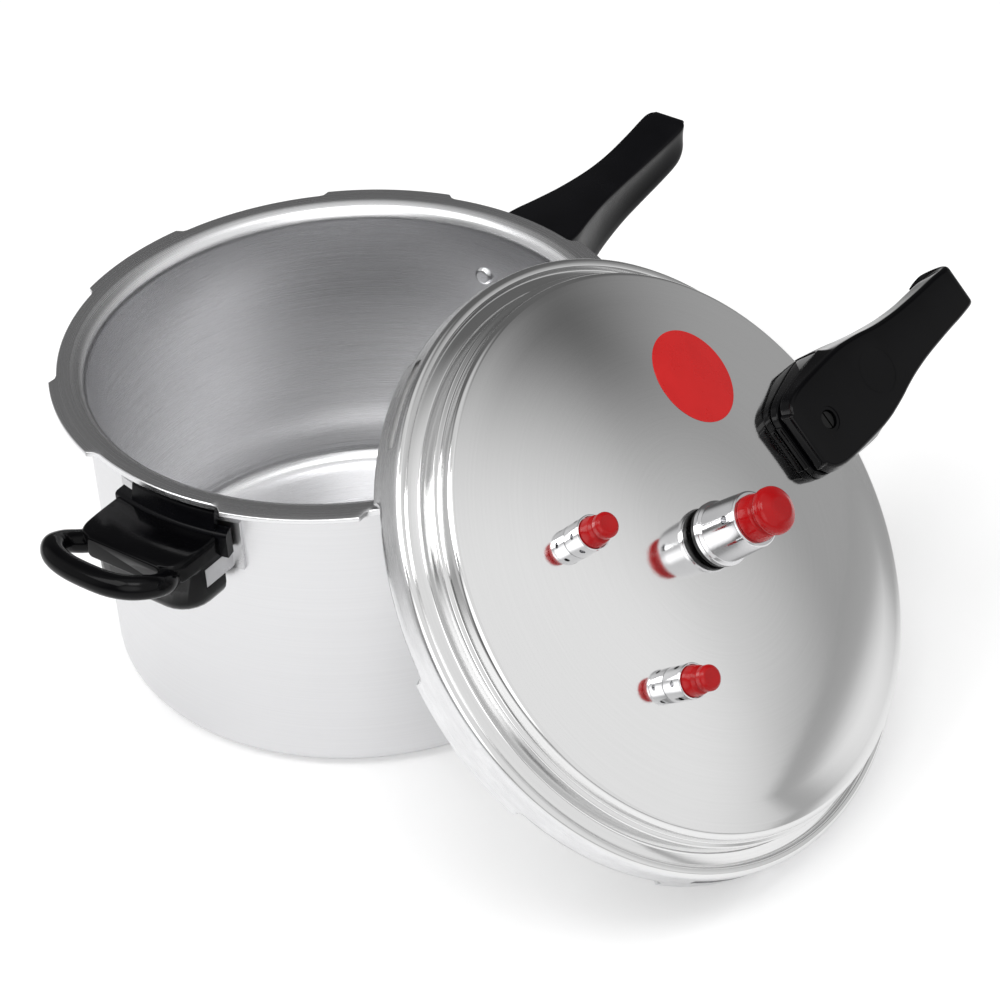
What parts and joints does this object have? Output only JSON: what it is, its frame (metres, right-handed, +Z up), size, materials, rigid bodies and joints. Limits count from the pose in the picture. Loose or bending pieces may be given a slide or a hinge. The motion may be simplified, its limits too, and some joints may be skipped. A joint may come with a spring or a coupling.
{
  "type": "pressure canner",
  "caption": "Aluminium pressure canner with black handles; its bayonet lid is off and stands on its rim by the pot, with weight regulator and relief valves.",
  "frame": {"origin": "centre of the pot's base, on the surface it stands on", "axes": "+Z up along the pot's axis; -Y towards the viewer; the lid stands on its rim towards +X and -Y, the long pot handle points to +X+Y"},
  "size_m": [0.5043, 0.5446, 0.2631],
  "materials": {
    "pot_aluminium": "satin outside, fine circular brushing inside",
    "lid_aluminium": "polished dome and steps, satin skirt",
    "bakelite": "glossy black thermoset",
    "bracket_steel": "bent zinc-plated sheet steel",
    "rivet_aluminium": "upset heads",
    "fastener_steel": "plated",
    "gasket_rubber": "pale grey silicone rubber",
    "warning_red": "plain printed film",
    "valve_chrome": "plated brass",
    "valve_red": "glossy red thermoset",
    "weight_black": "black insert ring",
    "spring_steel": "spring wire"
  },
  "bodies": {
    "pot": {"pot_shell": "pot_aluminium", "pot_handle_bracket": "bracket_steel", "pot_handle_rivets": "rivet_aluminium", "pot_handle_grip": "bakelite", "pot_handle_screw": "fastener_steel", "helper_bracket": "bracket_steel", "helper_rivets": "rivet_aluminium", "helper_saddle": "bakelite", "helper_grip": "bakelite", "helper_screw": "fastener_steel"},
    "seal": {"gasket": "gasket_rubber"},
    "lid": {"lid_shell": "lid_aluminium", "lid_handle_bracket": "bracket_steel", "lid_handle_rivets": "rivet_aluminium", "lid_handle_shoe": "bakelite", "lid_handle_grip": "bakelite", "lid_handle_screw": "fastener_steel", "sticker_disc": "warning_red", "vent_tube": "fastener_steel", "vent_washer": "gasket_rubber", "vent_nut": "fastener_steel", "vent_screen": "fastener_steel", "valve_left_body": "valve_chrome", "valve_left_washer": "gasket_rubber", "valve_left_nut": "fastener_steel", "valve_left_spring": "spring_steel", "valve_right_body": "valve_chrome", "valve_right_washer": "gasket_rubber", "valve_right_nut": "fastener_steel", "valve_right_spring": "spring_steel"},
    "regulator_core": {"weight_needle": "fastener_steel"},
    "regulator_weight": {"weight_base_ring": "weight_black", "weight_body": "valve_chrome", "weight_knob": "valve_red"},
    "left_plunger": {"valve_left_stem": "fastener_steel", "valve_left_button": "valve_red"},
    "right_plunger": {"valve_right_stem": "fastener_steel", "valve_right_button": "valve_red"}
  },
  "joints": [
    {"name": "lid_lift", "type": "slide", "parent": "pot", "child": "seal", "axis": [0.6191, -0.4416, 0.6494], "range_m": [0, 0.2]},
    {"name": "lid_turn", "type": "hinge", "parent": "seal", "child": "lid", "pos_m": [0.14997, -0.14689, 0.12601], "axis": [0.6191, -0.4416, 0.6494], "range_deg": [0, 30]},
    {"name": "weight_lift", "type": "slide", "parent": "lid", "child": "regulator_core", "axis": [0.6191, -0.4416, 0.6494], "range_m": [0, 0.04]},
    {"name": "weight_spin", "type": "hinge", "parent": "regulator_core", "child": "regulator_weight", "pos_m": [0.18519, -0.17202, 0.16297], "axis": [0.6191, -0.4416, 0.6494], "continuous": true},
    {"name": "left_valve_pull", "type": "slide", "parent": "lid", "child": "left_plunger", "axis": [0.4975, -0.5053, 0.7051], "range_m": [0, 0.002], "stiffness_N_per_m": 800, "springref_m": -0.002, "deforming": ["valve_left_spring"]},
    {"name": "right_valve_pull", "type": "slide", "parent": "lid", "child": "right_plunger", "axis": [0.5742, -0.569, 0.5887], "range_m": [0, 0.002], "stiffness_N_per_m": 800, "springref_m": -0.002, "deforming": ["valve_right_spring"]}
  ]
}
